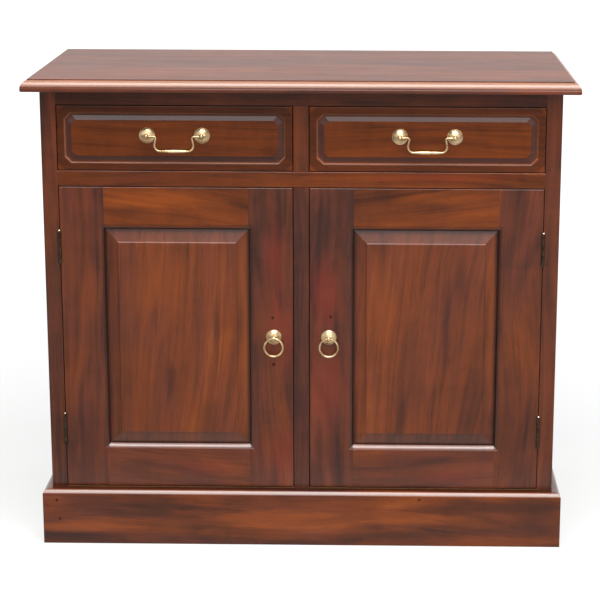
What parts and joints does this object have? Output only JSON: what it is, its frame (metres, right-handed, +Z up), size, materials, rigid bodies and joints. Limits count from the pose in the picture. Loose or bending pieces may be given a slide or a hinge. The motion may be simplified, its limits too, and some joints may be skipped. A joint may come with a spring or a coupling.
{
  "type": "chiffonier",
  "caption": "Low mahogany cabinet with drawers side by side above panelled doors, a moulded top, a plinth, brass bail handles and ring pulls.",
  "frame": {"origin": "on the floor, in the middle of the top board's outline", "axes": "+X along the width, to the right seen from the front; +Y from the front to the back; +Z up"},
  "size_m": [0.99, 0.48, 0.866],
  "materials": {
    "mahogany": "satin lacquer",
    "lining": "plain planed wood",
    "back_board": "plain board",
    "brass": "polished, a little worn",
    "hinge_brass": "dark with age",
    "steel": "plain",
    "catch_plastic": "moulded"
  },
  "bodies": {
    "carcass": {"top_board": "mahogany", "top_screws": "steel", "drawer_runners": "lining", "drawer_kickers": "lining", "hinge_frame_leaves": "hinge_brass", "hinge_pins": "hinge_brass", "frame_hinge_screws": "steel", "top_rail": "mahogany", "middle_rail": "mahogany", "bottom_rail": "lining", "drawer_muntin": "mahogany", "door_muntin": "mahogany", "left_front_stile": "mahogany", "right_front_stile": "mahogany", "floor_board": "lining", "shelf": "lining", "shelf_bearers": "lining", "back_top_rail": "lining", "back_middle_rail": "lining", "back_bottom_rail": "lining", "back_panel": "back_board", "left_side_panel": "mahogany", "right_side_panel": "mahogany", "plinth_front": "mahogany", "plinth_left": "mahogany", "plinth_right": "mahogany", "corner_blocks": "lining", "door_catches": "catch_plastic"},
    "left_door": {"left_door_hinge_leaves": "hinge_brass", "left_door_hinge_screws": "steel", "left_door_top_rail": "mahogany", "left_door_bottom_rail": "mahogany", "left_door_lock_stile": "mahogany", "left_door_hinge_stile": "mahogany", "left_door_panel": "mahogany", "left_ring_rosette": "brass", "left_catch_plate": "steel"},
    "left_drawer": {"left_drawer_front": "mahogany", "left_drawer_sides": "lining", "left_drawer_back": "lining", "left_drawer_bottom": "lining", "left_handle_rosettes": "brass"},
    "left_ring": {"left_ring": "brass"},
    "left_bail": {"left_bail": "brass"},
    "right_door": {"right_door_hinge_leaves": "hinge_brass", "right_door_hinge_screws": "steel", "right_door_top_rail": "mahogany", "right_door_bottom_rail": "mahogany", "right_door_lock_stile": "mahogany", "right_door_hinge_stile": "mahogany", "right_door_panel": "mahogany", "right_ring_rosette": "brass", "right_catch_plate": "steel"},
    "right_drawer": {"right_drawer_front": "mahogany", "right_drawer_sides": "lining", "right_drawer_back": "lining", "right_drawer_bottom": "lining", "right_handle_rosettes": "brass"},
    "right_ring": {"right_ring": "brass"},
    "right_bail": {"right_bail": "brass"}
  },
  "joints": [
    {"name": "left_door_swing", "type": "hinge", "parent": "carcass", "child": "left_door", "pos_m": [-0.4365, -0.2156, 0.39], "axis": [0, 0, -1], "range_deg": [0, 170]},
    {"name": "left_drawer_slide", "type": "slide", "parent": "carcass", "child": "left_drawer", "axis": [0, -1, 0], "range_m": [0, 0.29]},
    {"name": "left_ring_lift", "type": "hinge", "parent": "left_door", "child": "left_ring", "pos_m": [-0.0503, -0.225, 0.394], "axis": [-1, 0, 0], "range_deg": [-15, 190]},
    {"name": "left_bail_lift", "type": "hinge", "parent": "left_drawer", "child": "left_bail", "pos_m": [-0.2255, -0.227, 0.7645], "axis": [-1, 0, 0], "range_deg": [-22, 200]},
    {"name": "right_door_swing", "type": "hinge", "parent": "carcass", "child": "right_door", "pos_m": [0.4365, -0.2156, 0.39], "axis": [0, 0, 1], "range_deg": [0, 170]},
    {"name": "right_drawer_slide", "type": "slide", "parent": "carcass", "child": "right_drawer", "axis": [0, -1, 0], "range_m": [0, 0.29]},
    {"name": "right_ring_lift", "type": "hinge", "parent": "right_door", "child": "right_ring", "pos_m": [0.0503, -0.225, 0.394], "axis": [-1, 0, 0], "range_deg": [-15, 190]},
    {"name": "right_bail_lift", "type": "hinge", "parent": "right_drawer", "child": "right_bail", "pos_m": [0.2255, -0.227, 0.7645], "axis": [-1, 0, 0], "range_deg": [-22, 200]}
  ]
}
